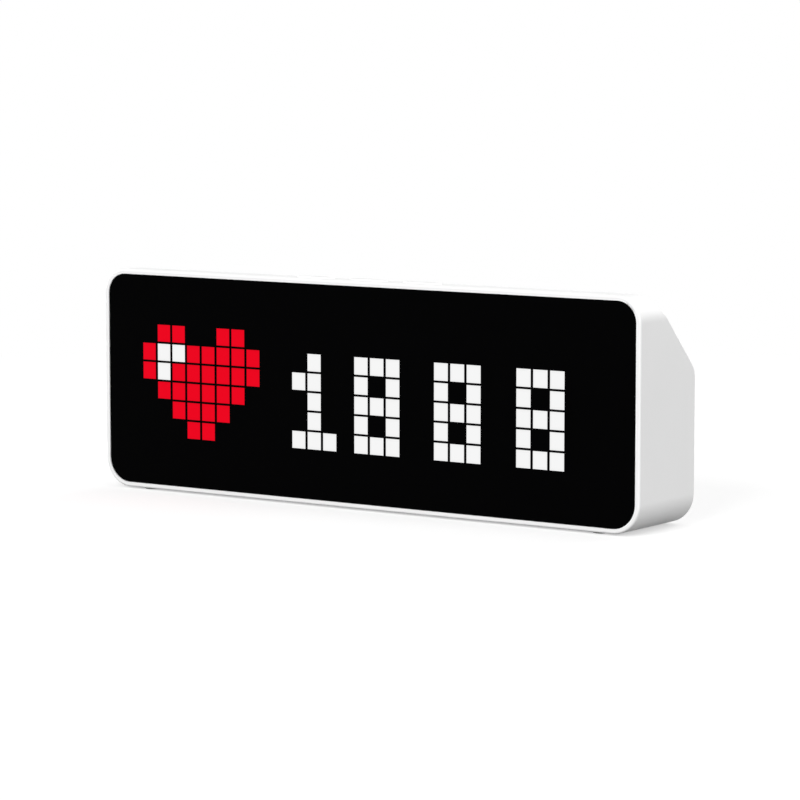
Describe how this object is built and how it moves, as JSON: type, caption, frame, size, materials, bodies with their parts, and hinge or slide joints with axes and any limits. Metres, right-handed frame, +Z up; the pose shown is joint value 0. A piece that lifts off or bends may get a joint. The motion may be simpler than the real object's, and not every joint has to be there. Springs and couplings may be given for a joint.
{
  "type": "pixel clock",
  "caption": "Desktop pixel clock: white rounded case with a sloped rear, black front panel of square pixel windows showing a number and a heart, press buttons on top and rear.",
  "frame": {"origin": "under the middle of the case, on the surface that the feet stand on", "axes": "+Z up, +X to the right seen from the front, the display faces -Y"},
  "size_m": [0.2006, 0.0318, 0.0712],
  "materials": {
    "case_white": "fine moulded texture",
    "button_white": "smooth satin",
    "panel_black": "deep black, smooth",
    "pixel_dark": "deep black, smooth",
    "pixel_white": "lit white",
    "pixel_red": "lit red",
    "foot_rubber": "matte",
    "tape": "foam",
    "film": "milky",
    "grid_white": "moulded",
    "board_green": "solder mask",
    "led_package": "moulded package",
    "sensor_package": "moulded package",
    "screw_steel": "zinc plated",
    "chip_black": "moulded package",
    "module_blue": "solder mask",
    "shield_metal": "stamped tin plate",
    "coin_metal": "drawn steel",
    "inlet_metal": "drawn steel shell",
    "cell_sleeve": null,
    "nickel": "nickel strip",
    "cradle_grey": "moulded",
    "connector_ivory": "moulded",
    "wire_red": "insulation",
    "ribbon_grey": "flat cable"
  },
  "bodies": {
    "case": {"housing": "case_white", "rear_cover": "case_white", "case_screws": "screw_steel", "rubber_feet": "foot_rubber", "front_panel": "panel_black", "dark_pixel_windows": "pixel_dark", "white_pixel_windows": "pixel_white", "red_pixel_windows": "pixel_red", "panel_tape": "tape", "diffuser_film": "film", "light_grid": "grid_white", "led_board": "board_green", "led_chips": "led_package", "led_board_screws": "screw_steel", "light_sensor": "sensor_package", "button_switches": "cradle_grey", "button_board": "board_green", "main_board": "board_green", "main_board_screws": "screw_steel", "radio_module": "module_blue", "radio_shield": "shield_metal", "board_chips": "chip_black", "climate_sensor": "sensor_package", "buzzer": "chip_black", "coin_cell_holder": "chip_black", "coin_cell": "coin_metal", "usb_socket": "inlet_metal", "usb_tongue": "chip_black", "power_switch": "cradle_grey", "battery_cradle": "cradle_grey", "cradle_tape": "tape", "battery_cells": "cell_sleeve", "nickel_strips": "nickel", "battery_lead": "wire_red", "battery_plug": "connector_ivory", "battery_socket": "connector_ivory", "led_ribbon": "ribbon_grey", "ribbon_sockets": "connector_ivory"},
    "left_key": {"left_button": "button_white", "left_plunger": "chip_black"},
    "middle_key": {"middle_button": "button_white", "middle_plunger": "chip_black"},
    "right_key": {"right_button": "button_white", "right_plunger": "chip_black"},
    "power_key": {"power_button": "button_white", "power_plunger": "chip_black"}
  },
  "joints": [
    {"name": "left_press", "type": "slide", "parent": "case", "child": "left_key", "axis": [0, 0, -1], "range_m": [0, 0.0005], "stiffness_N_per_m": 1500},
    {"name": "middle_press", "type": "slide", "parent": "case", "child": "middle_key", "axis": [0, 0, -1], "range_m": [0, 0.0005], "stiffness_N_per_m": 1500},
    {"name": "right_press", "type": "slide", "parent": "case", "child": "right_key", "axis": [0, 0, -1], "range_m": [0, 0.0005], "stiffness_N_per_m": 1500},
    {"name": "power_press", "type": "slide", "parent": "case", "child": "power_key", "axis": [0, -1, 0], "range_m": [0, 0.0005], "stiffness_N_per_m": 1500}
  ]
}
